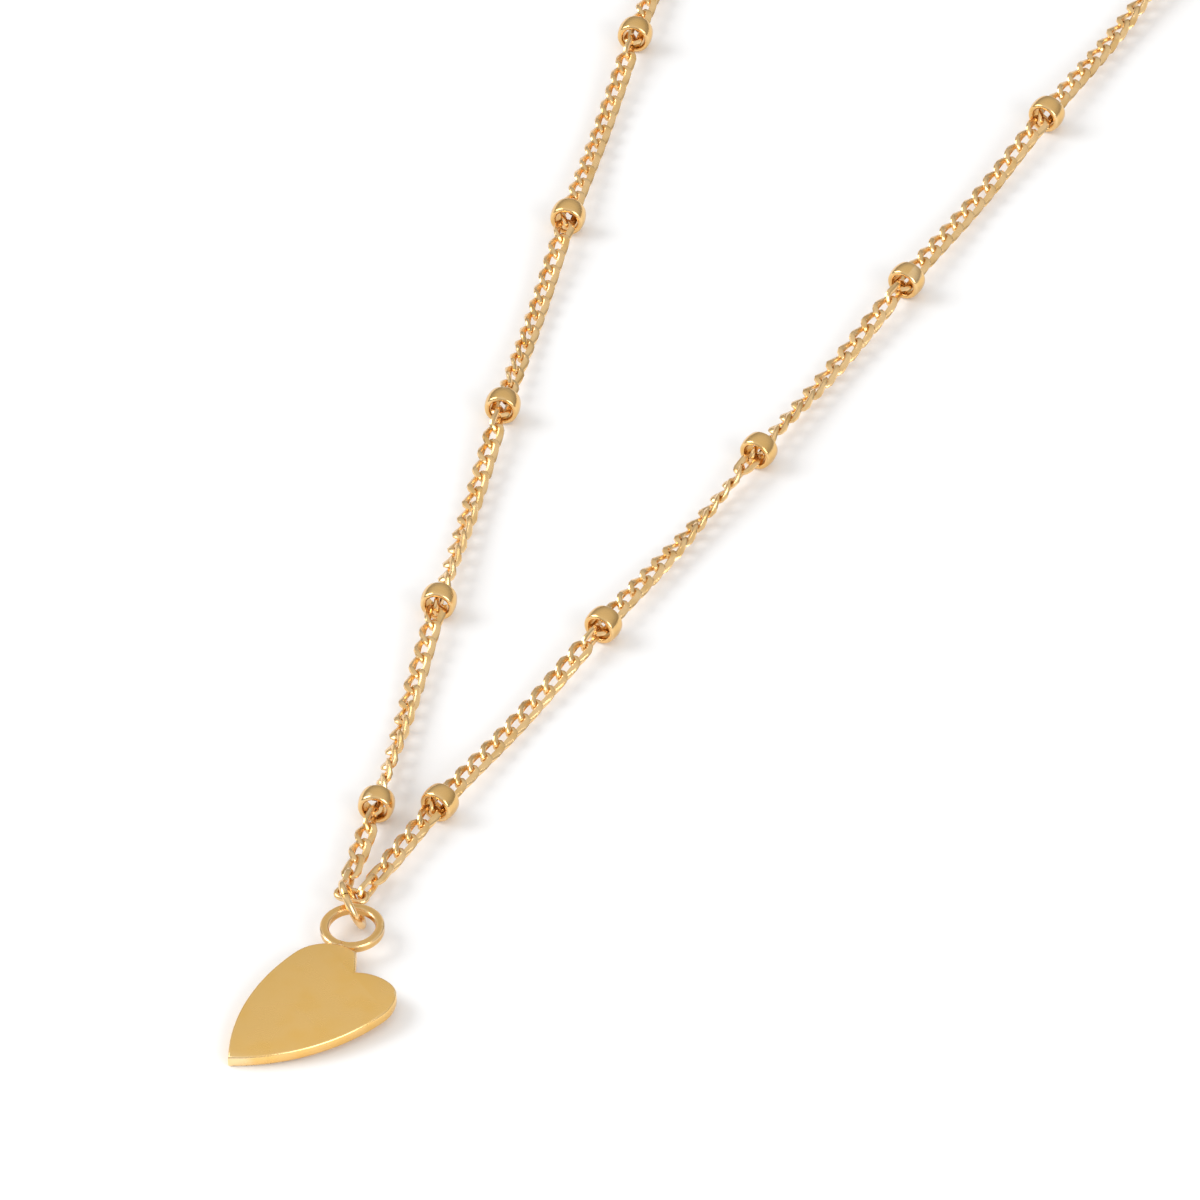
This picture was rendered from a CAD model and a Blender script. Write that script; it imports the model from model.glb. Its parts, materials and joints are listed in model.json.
import json
import math

import bpy
import numpy as np
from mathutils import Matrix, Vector


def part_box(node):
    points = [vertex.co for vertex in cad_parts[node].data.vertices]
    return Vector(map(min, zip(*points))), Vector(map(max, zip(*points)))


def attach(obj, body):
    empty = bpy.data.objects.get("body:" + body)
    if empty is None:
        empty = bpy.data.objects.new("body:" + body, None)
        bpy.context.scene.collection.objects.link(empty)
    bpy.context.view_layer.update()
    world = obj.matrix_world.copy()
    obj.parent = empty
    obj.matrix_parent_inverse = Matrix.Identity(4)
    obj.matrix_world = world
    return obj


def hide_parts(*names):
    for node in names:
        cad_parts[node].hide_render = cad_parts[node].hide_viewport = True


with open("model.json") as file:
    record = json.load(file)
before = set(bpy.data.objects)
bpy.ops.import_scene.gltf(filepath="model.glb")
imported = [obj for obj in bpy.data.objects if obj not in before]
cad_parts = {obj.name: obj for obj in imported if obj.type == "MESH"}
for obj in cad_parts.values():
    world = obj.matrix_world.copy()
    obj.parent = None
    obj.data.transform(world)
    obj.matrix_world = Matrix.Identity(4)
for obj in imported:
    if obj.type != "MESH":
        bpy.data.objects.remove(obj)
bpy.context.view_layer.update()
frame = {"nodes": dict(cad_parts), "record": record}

MM = 0.001

# Chain
BEAD_GAP = 20
LINKS_PER_GAP = 13
PITCH = BEAD_GAP / LINKS_PER_GAP
LINK_WIRE_R = 0.19
LINK_SIDE_R = 0.25           # the sides of a curb link are pressed wider in its own plane
LINK_THIN = 0.17             # and thinner across it
LINK_SPREAD = 0.04           # how far the pressed sides stand out past the round wire
LINK_END_R = 0.45
LINK_HALF = 0.974
LINK_FLAT = 0.33             # half-thickness that the curb links are filed down to
RUN_SAG = 0.4
CENTRE_PLAY = 0.03           # how far the first links' wire stands off the centre link's
BEADS_PER_SIDE = 10
CENTRE_HEADING = 7.5
FIRST_HEADING = 10
HEADING_STEP = 0.7
CENTRE_TWISTS = (78, -6.6)   # rolls at which the first and the second link from the centre begin
HALF_TWIST = 45              # a curb link's ends are turned this far to either side of its face

# Beads
BEAD_R = 1.15
BEAD_HALF = 0.65
BEAD_CROWN = 0.06
BEAD_HOLE_R = 0.75
BEAD_RIM_R = 0.17
BEAD_RIM_START = 82          # where the rim's round takes over from the crown

# Rings
JUMP_RING_R, JUMP_WIRE_R = 1.44, 0.25
JUMP_RING_PLACE = (0.537, -1.244, 0.46)
JUMP_RING_HEADING, JUMP_RING_TILT, JUMP_RING_CUT_AT = 32.4, 67, 200
HEART_RING_R, HEART_WIRE_W = 1.725, 0.55
HEART_WIRE_CORNER = 0.62     # share of the square wire's width at which its corners are rounded
RING_CUT = 0.05

# Heart: lengths from its tip, angles of its place on the table and of the ring's weld on the lobe
HEART_SHOULDER, HEART_HALF_W, HEART_LOBE_R, HEART_NOTCH = 9.2, 4, 2.65, 10.6
HEART_T = 0.8
HEART_BEVEL = 0.15
HEART_TURN, HEART_LIFT = 64, 3.2
WELD_ANGLE = 25
WELD_DEPTH = 0.06            # how far the ring is let into the lobe
LOBE_HANDLE, NOTCH_HANDLE = 1.0, 1.2    # how far the free lobe's curve holds its two end directions

# Camera: the place on the table that it looks at, then its angles, its distance in metres and its lens
CAMERA_TARGET = (3.857, 33.298)
CAMERA_AZIMUTH, CAMERA_ELEVATION = -20.656, 40
CAMERA_DISTANCE = 0.903
CAMERA_LENS, CAMERA_SENSOR = 426.77, 36

LEFT, RIGHT = -1, 1
SIDE_NAMES = {LEFT: "left", RIGHT: "right"}
SHORT_RUN_LINKS = {LEFT: 5, RIGHT: 6}   # from the centre link to the first bead, and after the last bead
# How far each run of chain is rolled about its length, at its first and at its last link
RUN_ROLLS = {
    LEFT: [(10, 14), (-70, 14), (-56, 8), (45, 12), (12, 20), (12, -40), (-40, 20),
           (20, 60), (50, 10), (10, -30), (20, 20)],
    RIGHT: [(34, 34), (32, 34), (30, -56), (-45, 16), (20, 24), (24, -30), (-30, 30),
            (30, 70), (50, 20), (30, -20), (20, 20)],
}

body_of = {
    node: body for body, nodes in frame["record"]["behaviour"]["bodies"].items() for node in nodes
}


# ---------------------------------------------------------------- placing

def turn_about(axis, degrees):
    """3 by 3 matrix of a right-handed turn about the X, Y or Z axis."""
    c = math.cos(math.radians(degrees))
    s = math.sin(math.radians(degrees))
    i, j = {"x": (1, 2), "y": (2, 0), "z": (0, 1)}[axis]
    m = np.eye(3)
    m[i, i] = m[j, j] = c
    m[i, j] = -s
    m[j, i] = s
    return m


def centre_of(node):
    """Middle of a node's box, in millimetres."""
    low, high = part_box(node)
    return np.array((low + high) / 2) / MM


def heading(run):
    """How far a run points away from the middle line of the necklace."""
    return CENTRE_HEADING if run == 0 else FIRST_HEADING - HEADING_STEP * (run - 1)


def turn_of(side, run):
    """Turn about Z that lays a link's length along a run."""
    return 90 - side * heading(run)


def bead_link(side, bead):
    """Number of the link inside a bead, counted from the centre link."""
    return SHORT_RUN_LINKS[side] + 1 + LINKS_PER_GAP * (bead - 1)


def pivot_roll(i):
    """Roll of a link where a joint needs it flat or upright: even links lie flat, odd ones stand."""
    return 0 if i % 2 == 0 else 90


def place_along(side, run, steps, share=0):
    """Point on a strand: some links past the run's bead, and lower the nearer it is to mid-run."""
    if run == 0:
        first_turn = math.radians(CENTRE_HEADING)
        aside = LINK_HALF - LINK_END_R + CENTRE_PLAY
        ahead = LINK_END_R - 2 * LINK_WIRE_R - CENTRE_PLAY
        start = np.array([
            side * (aside + LINK_HALF * math.sin(first_turn)), ahead + LINK_HALF * math.cos(first_turn), 0])
    else:
        start = centre_of(f"{SIDE_NAMES[side]}_bead_{run:02d}")
        start[2] = 0
    along = turn_about("z", turn_of(side, run))[:, 0]
    sag = np.array([0, 0, -RUN_SAG * math.sin(math.pi * share) ** 2])
    return start + along * PITCH * steps + sag


# ---------------------------------------------------------------- surfaces

def quad_faces(rows, columns, rows_closed, columns_closed):
    """Corner numbers of the quads of a grid, wrapped round where a direction is closed."""
    r = np.arange(rows if rows_closed else rows - 1)[:, None]
    c = np.arange(columns if columns_closed else columns - 1)[None, :]
    r_next = (r + 1) % rows
    c_next = (c + 1) % columns
    corners = (r * columns + c, r_next * columns + c, r_next * columns + c_next, r * columns + c_next)
    return np.stack(np.broadcast_arrays(*corners), -1).reshape(-1, 4)


def outward(points, faces):
    """The faces, turned over if the volume that they enclose comes out negative. Each face is cut into
    triangles that share its first corner, and the volume is the sum of that corner dotted with the cross
    product of the triangle's other two."""
    triangles = np.array([(face[0], b, c) for face in faces for b, c in zip(face[1:], face[2:])])
    first, second, third = (points[triangles[:, corner]] for corner in range(3))
    volume = (first * np.cross(second, third)).sum()
    return [face[::-1] for face in faces] if volume < 0 else faces


def carried_profile(path, side, up, profile, closed):
    """A profile carried along a path: point = path + side * u + up * v, for each (u, v) of the closed
    profile. A closed path meets itself; an open one gets a flat cap at each end."""
    points = path[:, None] + side[:, None] * profile[None, :, :1] + up[:, None] * profile[None, :, 1:]
    rows, columns = len(path), len(profile)
    faces = quad_faces(rows, columns, closed, True).tolist()
    points = points.reshape(-1, 3)
    if not closed:
        faces += [list(range(columns))[::-1], list(range((rows - 1) * columns, rows * columns))]
    return points, outward(points, faces)


def spun(profile, steps, start=0.0, sweep=360.0):
    """A closed profile of (radius, height) spun about Z, all the way round or over part of a turn."""
    whole = sweep == 360.0
    stations = steps if whole else steps + 1
    angle = np.radians(start + np.arange(stations) * sweep / steps)
    side = np.stack([np.cos(angle), np.sin(angle), 0 * angle], -1)
    up = np.tile([0.0, 0.0, 1.0], (len(angle), 1))
    return carried_profile(0 * side, side, up, profile, whole)


def moved(patch, matrix, place):
    """A patch turned by the matrix and then carried to its place."""
    points, faces = patch
    return points @ matrix.T + place, faces


def solid(name, patches, material, node, smooth_below=40.0):
    """One mesh object from closed patches, shown in place of a node and riding on the node's body."""
    points, faces, count = [], [], 0
    for patch_points, patch_faces in patches:
        points.append(patch_points)
        faces += [[corner + count for corner in face] for face in patch_faces]
        count += len(patch_points)
    mesh = bpy.data.meshes.new(name)
    mesh.from_pydata((np.concatenate(points) * MM).tolist(), [], faces)
    mesh.polygons.foreach_set("use_smooth", np.ones(len(faces), bool))
    mesh.set_sharp_from_angle(angle=math.radians(smooth_below))
    mesh.update()
    piece = bpy.data.objects.new(name, mesh)
    bpy.context.scene.collection.objects.link(piece)
    mesh.materials.append(material)
    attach(piece, body_of[node])
    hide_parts(node)
    return piece


def circle_profile(centre, radius, steps):
    """A circle about (centre, 0)."""
    angle = np.arange(steps) * 2 * np.pi / steps
    return np.stack([centre + radius * np.cos(angle), radius * np.sin(angle)], -1)


def wire_ring(radius, wire_r, around=56, section=12):
    """A ring of round wire, flat, with a narrow saw cut on its +X side."""
    cut = math.degrees(RING_CUT / radius)
    return spun(circle_profile(radius, wire_r, section), around, cut / 2, 360 - cut)


def long_loop(half, end_r, end_steps, straight_steps):
    """Centreline of a link and its outward direction: two half circles of radius end_r, joined by straight
    wires."""
    straight = half - end_r
    bend = np.radians(np.linspace(-90, 90, end_steps))
    run = np.linspace(-straight, straight, straight_steps + 2)[1:-1]
    bend_out = np.stack([np.cos(bend), np.sin(bend)], -1)
    right_end = bend_out * end_r + [straight, 0]
    wire_out = np.tile([0.0, 1.0], (straight_steps, 1))
    top = np.stack([run[::-1], np.full(straight_steps, end_r)], -1)
    line = np.concatenate([right_end, top, -right_end, -top])
    out = np.concatenate([bend_out, wire_out, -bend_out, -wire_out])
    return line, out


def twisted_link(half, end_r, wire_r, first_roll, last_roll, flat=None, end_steps=6, section=8):
    """A link, length along X: a tube about the long loop, turned about X by an angle that grows evenly from
    the first roll at one end to the last roll at the other. A loop looks the same after half a turn, so its
    twist is the one between -135 and 45 degrees. A curb link, which has a flat, is an oval tube that is
    widest along its sides and round at its ends, and it is filed flat at that distance to either side."""
    twist = (last_roll - first_roll - HALF_TWIST) % 180 - 3 * HALF_TWIST
    line, out = long_loop(half, end_r, end_steps, 2)
    angle = np.arange(section) * 2 * np.pi / section + np.pi / section
    sideways = out[:, 1:] ** 2 if flat is not None else 0 * out[:, 1:]
    wide = wire_r + (LINK_SIDE_R - wire_r) * sideways
    thin = wire_r + (LINK_THIN - wire_r) * sideways
    middle = line + out * (wire_r + LINK_SPREAD * sideways - wide)
    x = middle[:, :1] + wide * np.cos(angle) * out[:, :1]
    y = middle[:, 1:] + wide * np.cos(angle) * out[:, 1:]
    z = thin * np.sin(angle)
    roll = np.radians(first_roll + twist * (line[:, :1] + half) / (2 * half))
    y, z = y * np.cos(roll) - z * np.sin(roll), y * np.sin(roll) + z * np.cos(roll)
    if flat is not None:
        face = math.radians(first_roll + twist / 2)
        across = y * math.cos(face) + z * math.sin(face)
        above = np.clip(z * math.cos(face) - y * math.sin(face), -flat, flat)
        y = across * math.cos(face) - above * math.sin(face)
        z = across * math.sin(face) + above * math.cos(face)
    points = np.stack([x, y, z], -1).reshape(-1, 3)
    return points, outward(points, quad_faces(len(line), section, True, True).tolist())


# ---------------------------------------------------------------- finishes

def new_group(name, inputs, outputs):
    """An empty node group with its sockets, and the two nodes that they show on inside it."""
    group = bpy.data.node_groups.new(name, "ShaderNodeTree")
    for label, kind, value in inputs:
        socket = group.interface.new_socket(label, in_out="INPUT", socket_type=kind)
        socket.default_value = value
    for label, kind in outputs:
        group.interface.new_socket(label, in_out="OUTPUT", socket_type=kind)
    return group, group.nodes.new("NodeGroupInput"), group.nodes.new("NodeGroupOutput")


def add_node(tree, kind, inputs=(), **settings):
    """A node with its settings and, by socket name or number, its values or the sockets that feed it."""
    node = tree.nodes.new(kind)
    for label, value in settings.items():
        setattr(node, label, value)
    for label, value in dict(inputs).items():
        if isinstance(value, bpy.types.NodeSocket):
            tree.links.new(value, node.inputs[label])
        else:
            node.inputs[label].default_value = value
    return node


def maths(tree, operation, *values):
    """The result of a Math node on values or sockets."""
    return add_node(tree, "ShaderNodeMath", dict(enumerate(values)), operation=operation).outputs[0]


def between(tree, value, low, high):
    """0 where value is low or less, 1 where it is high or more."""
    return add_node(tree, "ShaderNodeMapRange", {"Value": value, "From Min": low, "From Max": high},
                    interpolation_type="SMOOTHSTEP").outputs["Result"]


def fine_scratches():
    """Hairlines from handling: two crossed, stretched noises, kept only at their crests."""
    group, given, result = new_group(
        "fine_scratches", [("Place", "NodeSocketVector", (0, 0, 0)), ("Scale", "NodeSocketFloat", 400.0)],
        [("Height", "NodeSocketFloat")])
    crests = []
    for turn in (0.6, -0.9):
        turned = add_node(group, "ShaderNodeMapping", {
            "Vector": given.outputs["Place"], "Rotation": (0.3 * turn, 0.2, turn), "Scale": (1, 14, 6)})
        noise = add_node(group, "ShaderNodeTexNoise", {
            "Vector": turned.outputs[0], "Scale": given.outputs["Scale"], "Detail": 2.0, "Roughness": 0.6})
        crests.append(between(group, noise.outputs["Fac"], 0.55, 0.78))
    group.links.new(maths(group, "MAXIMUM", *crests), result.inputs["Height"])
    return group


def satin_grain():
    """Brushed grain: noise drawn out along one direction, over a soft uneven sheen."""
    group, given, result = new_group(
        "satin_grain", [("Place", "NodeSocketVector", (0, 0, 0)), ("Scale", "NodeSocketFloat", 900.0)],
        [("Height", "NodeSocketFloat"), ("Sheen", "NodeSocketFloat")])
    drawn = add_node(group, "ShaderNodeMapping", {"Vector": given.outputs["Place"], "Scale": (0.12, 1, 1)})
    lines = add_node(group, "ShaderNodeTexNoise", {
        "Vector": drawn.outputs[0], "Scale": given.outputs["Scale"], "Detail": 4.0, "Roughness": 0.65})
    cloud = add_node(group, "ShaderNodeTexNoise", {
        "Vector": given.outputs["Place"], "Scale": maths(group, "MULTIPLY", given.outputs["Scale"], 0.2),
        "Detail": 3.0})
    group.links.new(lines.outputs["Fac"], result.inputs["Height"])
    group.links.new(between(group, cloud.outputs["Fac"], 0.3, 0.7), result.inputs["Sheen"])
    return group


def tarnish():
    """Soft patches where the plating has deepened, with a fine speckle of dust in them."""
    group, given, result = new_group(
        "tarnish", [("Place", "NodeSocketVector", (0, 0, 0)), ("Scale", "NodeSocketFloat", 300.0),
                    ("Amount", "NodeSocketFloat", 0.3)],
        [("Mask", "NodeSocketFloat")])
    patches = add_node(group, "ShaderNodeTexNoise", {
        "Vector": given.outputs["Place"], "Scale": given.outputs["Scale"], "Detail": 3.0})
    dust = add_node(group, "ShaderNodeTexNoise", {
        "Vector": given.outputs["Place"], "Scale": maths(group, "MULTIPLY", given.outputs["Scale"], 9.0),
        "Detail": 1.0})
    soft = between(group, patches.outputs["Fac"], 0.4, 0.75)
    speckled = maths(group, "MULTIPLY", soft, maths(group, "ADD", dust.outputs["Fac"], 0.4))
    group.links.new(maths(group, "MULTIPLY", speckled, given.outputs["Amount"]), result.inputs["Mask"])
    return group


def worn_edges():
    """1 on outside edges, 0 elsewhere, from how sharply the surface turns there, broken up by noise."""
    group, given, result = new_group(
        "worn_edges", [("Place", "NodeSocketVector", (0, 0, 0)), ("Scale", "NodeSocketFloat", 800.0)],
        [("Mask", "NodeSocketFloat")])
    turning = add_node(group, "ShaderNodeNewGeometry").outputs["Pointiness"]
    noise = add_node(group, "ShaderNodeTexNoise", {
        "Vector": given.outputs["Place"], "Scale": given.outputs["Scale"], "Detail": 2.0})
    edge = between(group, turning, 0.5, 0.56)
    group.links.new(maths(group, "MULTIPLY", edge, between(group, noise.outputs["Fac"], 0.2, 0.6)),
                    result.inputs["Mask"])
    return group


GROUPS = {
    "scratches": fine_scratches(),
    "grain": satin_grain(),
    "tarnish": tarnish(),
    "edges": worn_edges(),
}


def metal(name, colour, deep, bright, rough, scratch=0.05, grain=0.0, tarnished=0.35, unit=400.0):
    """Plated metal: the colour runs to a deeper one in tarnished patches and a brighter one on worn edges;
    the roughness lies between two values; hairline scratches and a brushed grain stand on the surface."""
    material = bpy.data.materials.new(name)
    material.use_nodes = True
    tree = material.node_tree
    shader = tree.nodes["Principled BSDF"]
    shader.inputs["Metallic"].default_value = 1.0
    place = add_node(tree, "ShaderNodeTexCoord").outputs["Object"]

    def effect(kind, **inputs):
        return add_node(tree, "ShaderNodeGroup", {"Place": place, **inputs}, node_tree=GROUPS[kind])

    scratches = effect("scratches", Scale=unit).outputs["Height"]
    brushed = effect("grain", Scale=unit * 3)
    patches = effect("tarnish", Scale=unit, Amount=tarnished).outputs["Mask"]
    edges = effect("edges", Scale=unit * 2).outputs["Mask"]
    aged = add_node(tree, "ShaderNodeMix", {
        0: patches, 6: (*colour, 1), 7: (*deep, 1)}, data_type="RGBA")
    worn = add_node(tree, "ShaderNodeMix", {
        0: edges, 6: aged.outputs[2], 7: (*bright, 1)}, data_type="RGBA")
    tree.links.new(worn.outputs[2], shader.inputs["Base Color"])
    roughness = add_node(tree, "ShaderNodeMapRange", {
        "Value": maths(tree, "ADD", maths(tree, "MULTIPLY", brushed.outputs["Sheen"], 0.7),
                       maths(tree, "MULTIPLY", scratches, 0.3)),
        "To Min": rough[0], "To Max": rough[1]})
    tree.links.new(roughness.outputs["Result"], shader.inputs["Roughness"])
    height = maths(tree, "ADD", maths(tree, "MULTIPLY", scratches, -scratch),
                   maths(tree, "MULTIPLY", brushed.outputs["Height"], grain))
    bump = add_node(tree, "ShaderNodeBump", {"Height": height, "Strength": 0.6, "Distance": 0.00012})
    tree.links.new(bump.outputs["Normal"], shader.inputs["Normal"])
    return material


chain_gold = metal("chain_gold", (0.80, 0.49, 0.175), (0.58, 0.31, 0.085), (0.93, 0.64, 0.32), (0.18, 0.32))
bead_gold = metal("bead_gold", (0.83, 0.51, 0.175), (0.63, 0.35, 0.09), (0.96, 0.67, 0.34), (0.14, 0.26))
ring_gold = metal("ring_gold", (0.82, 0.50, 0.175), (0.61, 0.34, 0.09), (0.94, 0.66, 0.34), (0.16, 0.28))
heart_gold = metal("heart_gold", (0.95, 0.58, 0.165), (0.88, 0.52, 0.14), (1.0, 0.74, 0.40), (0.24, 0.34),
                   scratch=0.004, grain=0.012, tarnished=0.2, unit=250.0)
clasp_gold = metal("clasp_gold", (0.84, 0.53, 0.21), (0.62, 0.34, 0.10), (0.95, 0.68, 0.36), (0.14, 0.28))
steel = metal("spring_steel", (0.62, 0.61, 0.59), (0.40, 0.38, 0.36), (0.80, 0.79, 0.78), (0.18, 0.34))


# ---------------------------------------------------------------- chain

def link_at(side, i, run, first_roll, last_roll, flat=LINK_FLAT):
    """A curb link in its place on a strand, tipped to follow the run's sag."""
    if run in (0, BEADS_PER_SIDE):
        share = 0
    else:
        share = (i - bead_link(side, run)) / LINKS_PER_GAP
    steps = i - 1 if run == 0 else i - bead_link(side, run)
    slope = math.degrees(math.atan(-RUN_SAG * math.pi * math.sin(2 * math.pi * share) / BEAD_GAP))
    matrix = turn_about("z", turn_of(side, run)) @ turn_about("y", -slope)
    link = twisted_link(LINK_HALF, LINK_END_R, LINK_WIRE_R, first_roll, last_roll, flat)
    return moved(link, matrix, place_along(side, run, steps, share))


def eased(begin, end, part):
    """A value part of the way from begin to end, which leaves and arrives gently."""
    return begin + (end - begin) * part * part * (3 - 2 * part)


def chain_run(side, run, first, last):
    """Links first to last of a run. Their overall roll eases from the run's first value to its last; each
    link twists about a quarter turn back along its own length, and the end link finishes flat or upright
    for its joint."""
    begin, end = RUN_ROLLS[side][run]
    links = []
    start = first
    if run == 0:
        links.append(link_at(side, 1, 0, CENTRE_TWISTS[0], CENTRE_TWISTS[0], None))
        links.append(link_at(side, 2, 0, CENTRE_TWISTS[1], begin - HALF_TWIST))
        start = first + len(links)
    count = last - start
    for i in range(start, last + 1):
        first_roll = eased(begin, end, (i - start) / count) + HALF_TWIST
        last_roll = pivot_roll(i) if i == last else eased(begin, end, (i - start + 1) / count) - HALF_TWIST
        links.append(link_at(side, i, run, first_roll, last_roll))
    return links


def bead_profile():
    """Section of a barrel bead as (radius, height): a crowned outer arc, round rims and a straight bore."""
    rim_x = BEAD_HALF - BEAD_RIM_R
    rim_r = BEAD_HOLE_R + BEAD_RIM_R
    crown_r = (rim_x ** 2 + BEAD_CROWN ** 2) / (2 * BEAD_CROWN)
    x = np.linspace(-rim_x, rim_x, 7)[1:-1]
    crown = np.stack([BEAD_R - crown_r + np.sqrt(crown_r ** 2 - x ** 2), x], -1)
    angle = np.radians(np.linspace(BEAD_RIM_START, -90, 9))
    rim = np.stack([rim_r + BEAD_RIM_R * np.sin(angle), rim_x + BEAD_RIM_R * np.cos(angle)], -1)
    lower = rim[::-1] * [1, -1]
    return np.concatenate([crown, rim, [[BEAD_HOLE_R, 0]], lower])


def barrel(side, k):
    """A bead in its place, its bore along the strand."""
    matrix = turn_about("z", turn_of(side, k)) @ turn_about("y", 90)
    return moved(spun(bead_profile(), 40), matrix, place_along(side, k, 0))


for side in (LEFT, RIGHT):
    word = SIDE_NAMES[side]
    end = bead_link(side, BEADS_PER_SIDE) + SHORT_RUN_LINKS[side]
    solid(f"centre_run_{word}_links", chain_run(side, 0, 1, bead_link(side, 1) - 1),
          chain_gold, f"centre_run_{word}")
    for k in range(1, BEADS_PER_SIDE + 1):
        inside = bead_link(side, k)
        node = f"{word}_bead_{k:02d}"
        solid(f"{node}_barrel", [barrel(side, k)], bead_gold, node, 60)
        held = link_at(side, inside, k, pivot_roll(inside), RUN_ROLLS[side][k][0] - HALF_TWIST)
        solid(f"{node}_link", [held], chain_gold, node)
        last_run = k == BEADS_PER_SIDE
        run_node = f"end_run_{word}" if last_run else f"{word}_run_{k:02d}"
        last = end if last_run else bead_link(side, k + 1) - 1
        solid(f"{run_node}_links", chain_run(side, k, inside + 1, last), chain_gold, run_node)

solid("centre_link_loop", [twisted_link(LINK_HALF, LINK_END_R, LINK_WIRE_R, 0, 0, None, 9, 12)],
      chain_gold, "centre_link")


# ---------------------------------------------------------------- heart

heart_matrix = turn_about("z", HEART_TURN) @ turn_about("y", -HEART_LIFT)
lobe_y = HEART_HALF_W - HEART_LOBE_R
ring_reach = HEART_LOBE_R + HEART_RING_R + HEART_WIRE_W / 2 - WELD_DEPTH
ring_in_heart = np.array([
    HEART_SHOULDER + ring_reach * math.cos(math.radians(WELD_ANGLE)),
    lobe_y + ring_reach * math.sin(math.radians(WELD_ANGLE)),
    HEART_T / 2,
])
heart_tip = centre_of("heart_ring") - heart_matrix @ ring_in_heart


def lobe_into_notch():
    """The free lobe's way into the notch: a cubic curve that leaves the lobe's circle along its tangent at
    45 degrees and comes down to the notch along a 45 degree line."""
    diagonal = math.sqrt(0.5)
    leave = np.array([HEART_SHOULDER, lobe_y]) + HEART_LOBE_R * diagonal
    arrive = np.array([HEART_NOTCH, 0.0])
    handles = [leave, leave + LOBE_HANDLE * np.array([diagonal, -diagonal]),
               arrive + NOTCH_HANDLE * diagonal, arrive]
    t = np.linspace(0, 1, 22)[1:, None]
    weights = [(1 - t) ** 3, 3 * t * (1 - t) ** 2, 3 * t * t * (1 - t), t ** 3]
    return sum(weight * handle for weight, handle in zip(weights, handles))


def heart_outline():
    """Half a heart from the tip to the notch, then the other half mirrored: a side arc that reaches its
    greatest width at the shoulder, a lobe that is a circle, and a straight 45 degree side of the notch. The
    points of the side lie a little wider apart towards the tip. The lobe without the ring runs into the
    notch in one curve."""
    side_r = (HEART_SHOULDER ** 2 + HEART_HALF_W ** 2) / (2 * HEART_HALF_W)
    x = HEART_SHOULDER * np.linspace(0, 1, 25)[:-1] ** 0.85
    y = HEART_HALF_W - side_r + np.sqrt(side_r ** 2 - (HEART_SHOULDER - x) ** 2)
    # the notch side y = x - HEART_NOTCH meets the lobe where 2 t^2 + b t + c = 0, t along the side
    to_notch = HEART_NOTCH - HEART_SHOULDER
    b = 2 * (to_notch - lobe_y)
    c = to_notch ** 2 + lobe_y ** 2 - HEART_LOBE_R ** 2
    t = (-b + math.sqrt(b * b - 8 * c)) / 4
    corner = math.atan2(to_notch + t, t - lobe_y)
    angle = np.linspace(0, corner, 25)
    lobe_middle = np.array([HEART_SHOULDER, lobe_y])
    lobe = lobe_middle + HEART_LOBE_R * np.stack([np.sin(angle), np.cos(angle)], -1)
    notch = np.array([[HEART_NOTCH + t * part, t * part] for part in (0.75, 0.5, 0.25, 0)])
    flank = np.stack([x, y], -1)
    ring_half = np.concatenate([flank, lobe, notch])
    free_half = np.concatenate([flank, lobe[angle < math.pi / 4], lobe_into_notch()])
    return np.concatenate([ring_half, (free_half * [1, -1])[-2:0:-1]])


def heart_solid():
    """The outline stacked in layers, each drawn in along its corners' bisectors by the bevel's amount at
    its height, and closed by a flat face above and below."""
    outline = heart_outline()
    before = outline - np.roll(outline, 1, 0)
    after = np.roll(outline, -1, 0) - outline
    before /= np.linalg.norm(before, axis=1, keepdims=True)
    after /= np.linalg.norm(after, axis=1, keepdims=True)
    normal_a = np.stack([before[:, 1], -before[:, 0]], -1)
    normal_b = np.stack([after[:, 1], -after[:, 0]], -1)
    bisector = normal_a + normal_b
    miter = bisector / np.maximum((bisector * normal_a).sum(1, keepdims=True), 0.35)
    following = np.roll(outline, -1, 0)
    area = 0.5 * (outline[:, 0] * following[:, 1] - outline[:, 1] * following[:, 0]).sum()
    inward = -miter if area > 0 else miter
    quarter = np.radians(np.linspace(0, 90, 5))
    drawn_in = HEART_BEVEL * (1 - np.sin(quarter))
    raised = HEART_BEVEL * (1 - np.cos(quarter))
    insets = np.concatenate([drawn_in, drawn_in[::-1]])
    heights = np.concatenate([raised, HEART_T - raised[::-1]])
    layers = [np.column_stack([outline + inward * inset, np.full(len(outline), height)])
              for inset, height in zip(insets, heights)]
    points = np.concatenate(layers)
    count = len(outline)
    faces = quad_faces(len(layers), count, False, True).tolist()
    faces += [list(range(count)), list(range(len(points) - count, len(points)))[::-1]]
    return points, outward(points, faces)


solid("heart_plate_bevelled", [moved(heart_solid(), heart_matrix, heart_tip)],
      heart_gold, "heart_plate", 30)


def rounded_square(centre, width, corner_r, steps=24):
    """Section of square wire with round corners: a square of that width cut by a circle of radius
    corner_r."""
    angle = (np.arange(steps) + 0.5) * 2 * np.pi / steps
    reach = np.minimum(width / 2 / np.maximum(abs(np.cos(angle)), abs(np.sin(angle))), corner_r)
    return np.stack([centre + reach * np.cos(angle), reach * np.sin(angle)], -1)


heart_cut = math.degrees(RING_CUT / HEART_RING_R)
heart_wire = rounded_square(HEART_RING_R, HEART_WIRE_W, HEART_WIRE_W * HEART_WIRE_CORNER)
heart_ring = spun(heart_wire, 72, heart_cut / 2, 360 - heart_cut)
heart_ring_matrix = heart_matrix @ turn_about("z", 180 + WELD_ANGLE)
solid("heart_ring_band", [moved(heart_ring, heart_ring_matrix, centre_of("heart_ring"))],
      ring_gold, "heart_ring", 35)

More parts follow.
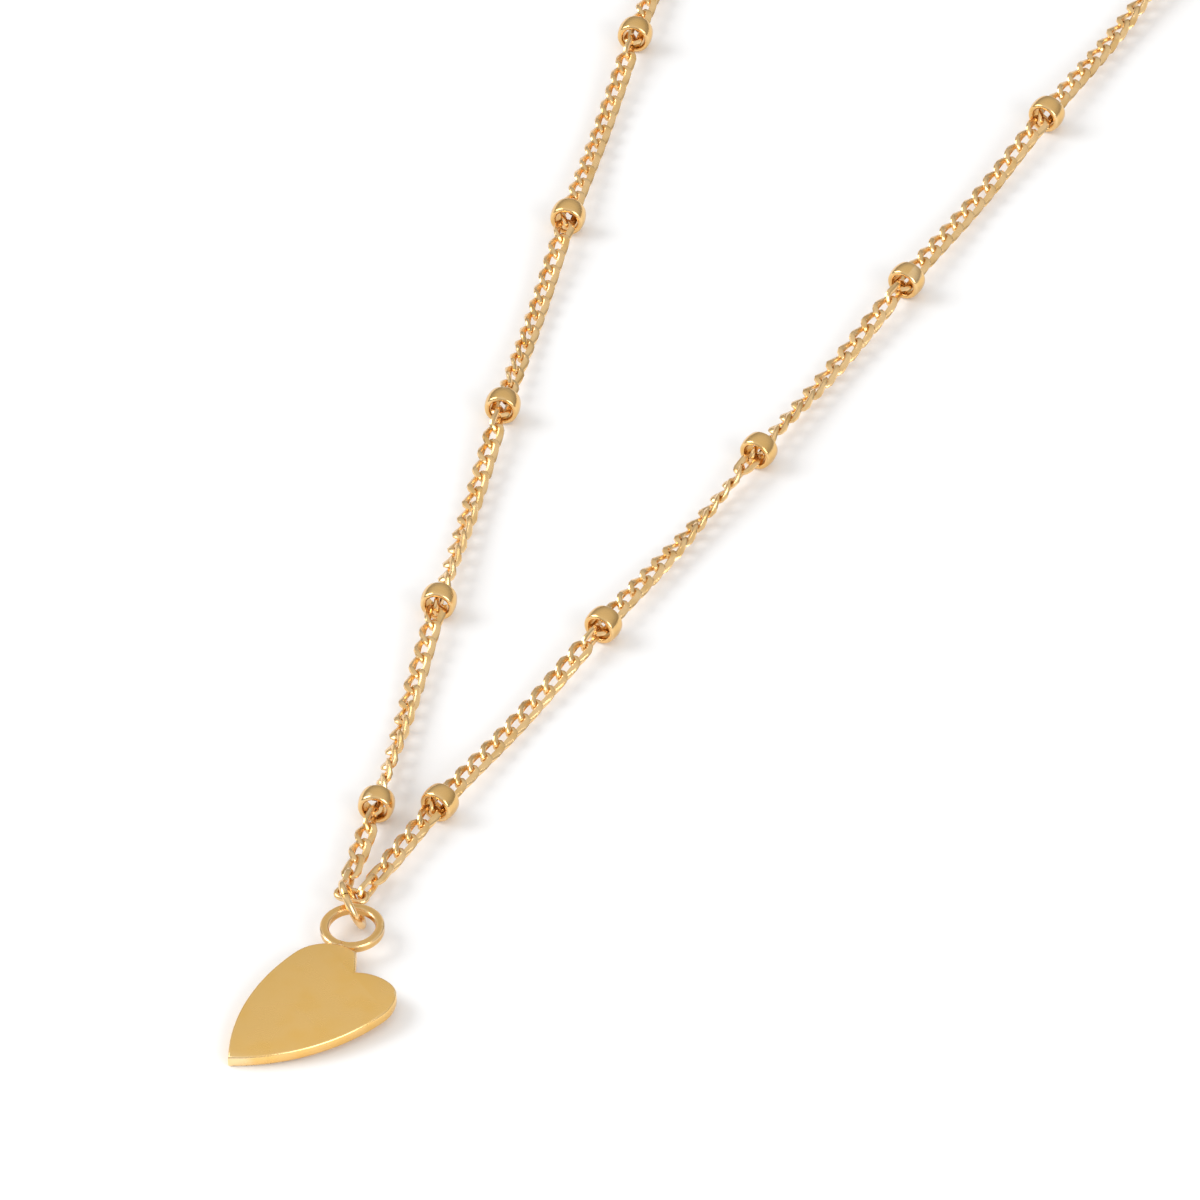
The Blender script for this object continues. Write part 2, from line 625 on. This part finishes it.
jump_ring = wire_ring(JUMP_RING_R, JUMP_WIRE_R)
jump_stand = turn_about("z", JUMP_RING_HEADING) @ turn_about("y", JUMP_RING_TILT)
jump_matrix = jump_stand @ turn_about("z", JUMP_RING_CUT_AT)
solid("jump_ring_wire", [moved(jump_ring, jump_matrix, np.array(JUMP_RING_PLACE))],
      ring_gold, "jump_ring", 50)


# ---------------------------------------------------------------- clasp and extension
# These keep the frame's own shapes and are given their finishes.

def refinish(node, material):
    """Gives a CAD node its finish."""
    data = frame["nodes"][node].data
    data.materials.clear()
    data.materials.append(material)


for node in ("clasp_ring", "connector_ring", "extension_ring", "drop_ring"):
    refinish(node, ring_gold)
for node in ("extension_chain_inner", "extension_chain_outer"):
    refinish(node, chain_gold)
for node in ("clasp_body", "clasp_lever"):
    refinish(node, clasp_gold)
for node in ("clasp_spring", "clasp_pin"):
    refinish(node, steel)
refinish("extension_drop", bead_gold)
refinish("heart_weld", heart_gold)


# ---------------------------------------------------------------- studio

TABLE_Z = -BEAD_R


def table():
    """A wide pale table top with a very faint mottle."""
    material = bpy.data.materials.new("pale_table")
    material.use_nodes = True
    tree = material.node_tree
    shader = tree.nodes["Principled BSDF"]
    place = add_node(tree, "ShaderNodeTexCoord").outputs["Object"]
    noise = add_node(tree, "ShaderNodeTexNoise", {"Vector": place, "Scale": 6.0})
    tone = add_node(tree, "ShaderNodeMix", {
        0: noise.outputs["Fac"], 6: (0.90, 0.90, 0.90, 1), 7: (0.93, 0.93, 0.93, 1)}, data_type="RGBA")
    tree.links.new(tone.outputs[2], shader.inputs["Base Color"])
    shader.inputs["Roughness"].default_value = 0.9
    shader.inputs["Specular IOR Level"].default_value = 0.1
    reach = 4.0
    z = TABLE_Z * MM
    mesh = bpy.data.meshes.new("table_top")
    mesh.from_pydata([(-reach, -reach, z), (reach, -reach, z), (reach, reach, z), (-reach, reach, z)],
                     [], [(0, 1, 2, 3)])
    mesh.materials.append(material)
    top = bpy.data.objects.new("table_top", mesh)
    bpy.context.scene.collection.objects.link(top)


def soft_light(name, place, size, power, target=(0, 0.05, 0)):
    """A square area light that faces the target; places and size in metres, power in watts."""
    light = bpy.data.lights.new(name, "AREA")
    light.size = size
    light.energy = power
    lamp = bpy.data.objects.new(name, light)
    lamp.location = place
    lamp.rotation_euler = (Vector(target) - Vector(place)).to_track_quat("-Z", "Y").to_euler()
    bpy.context.scene.collection.objects.link(lamp)


def surroundings():
    """A pale room that is a little darker towards the horizon than overhead."""
    world = bpy.data.worlds.new("studio")
    world.use_nodes = True
    bpy.context.scene.world = world
    tree = world.node_tree
    view = add_node(tree, "ShaderNodeTexCoord").outputs["Generated"]
    up = add_node(tree, "ShaderNodeSeparateXYZ", {0: view}).outputs["Z"]
    ramp = add_node(tree, "ShaderNodeValToRGB", {"Fac": up})
    ramp.color_ramp.elements[0].color = (0.30, 0.30, 0.31, 1)
    ramp.color_ramp.elements[1].color = (0.80, 0.80, 0.80, 1)
    middle = ramp.color_ramp.elements.new(0.62)
    middle.color = (0.72, 0.72, 0.72, 1)
    tree.links.new(ramp.outputs["Color"], tree.nodes["Background"].inputs["Color"])


def camera():
    """Looks down at the necklace, a little from the right, with a long lens."""
    azimuth, elevation = math.radians(CAMERA_AZIMUTH), math.radians(CAMERA_ELEVATION)
    level = math.cos(elevation)
    looking = Vector((math.sin(azimuth) * level, math.cos(azimuth) * level, -math.sin(elevation)))
    data = bpy.data.cameras.new("camera")
    data.lens = CAMERA_LENS
    data.sensor_width = CAMERA_SENSOR
    eye = bpy.data.objects.new("camera", data)
    eye.location = Vector((*CAMERA_TARGET, TABLE_Z)) * MM - looking * CAMERA_DISTANCE
    eye.rotation_euler = looking.to_track_quat("-Z", "Y").to_euler()
    bpy.context.scene.collection.objects.link(eye)
    bpy.context.scene.camera = eye


table()
surroundings()
soft_light("key", (-0.75, -0.1, 0.55), 0.6, 5.4)
soft_light("fill", (0.75, -0.45, 0.45), 0.6, 4.6)
camera()
bpy.context.scene.view_settings.view_transform = "Standard"
